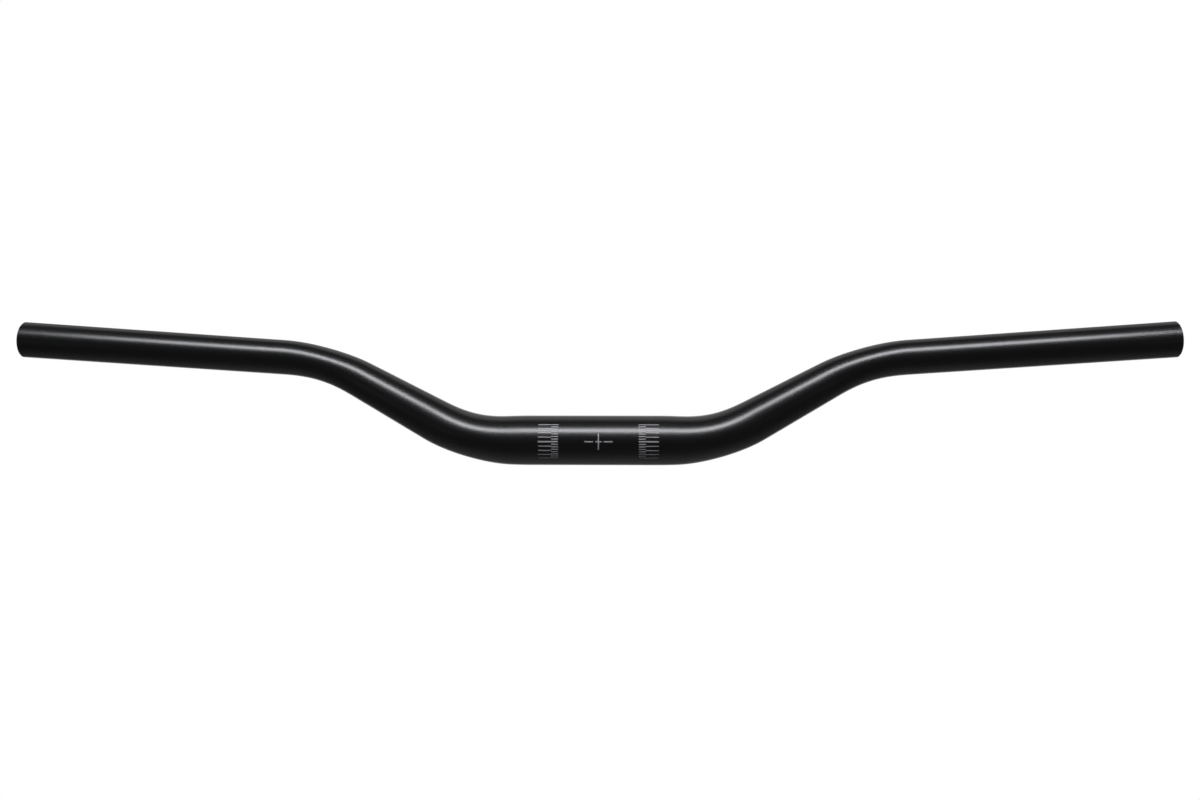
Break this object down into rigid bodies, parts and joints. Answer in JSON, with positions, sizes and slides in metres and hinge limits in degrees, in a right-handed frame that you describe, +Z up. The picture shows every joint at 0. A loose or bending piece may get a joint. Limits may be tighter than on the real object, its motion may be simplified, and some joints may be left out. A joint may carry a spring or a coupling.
{
  "type": "mountain bike handlebar",
  "caption": "Riser handlebar: one bent, tapered, hollow tube with a thick clamp in the middle, risers beside it and thin swept-back ends for grips and controls.",
  "frame": {"origin": "middle of the clamp, on the clamp's axis", "axes": "+X along the clamp axis to the rider's right, +Y forwards along the bicycle, +Z up; the grips sweep back towards -Y"},
  "size_m": [0.72, 0.0464, 0.0908],
  "materials": {
    "bar_finish": "satin black anodised over a fine bead blast",
    "clamp_marks": "light grey alignment marks, etched flush through the black"
  },
  "bodies": {
    "root": {"handlebar": "bar_finish"}
  },
  "joints": []
}
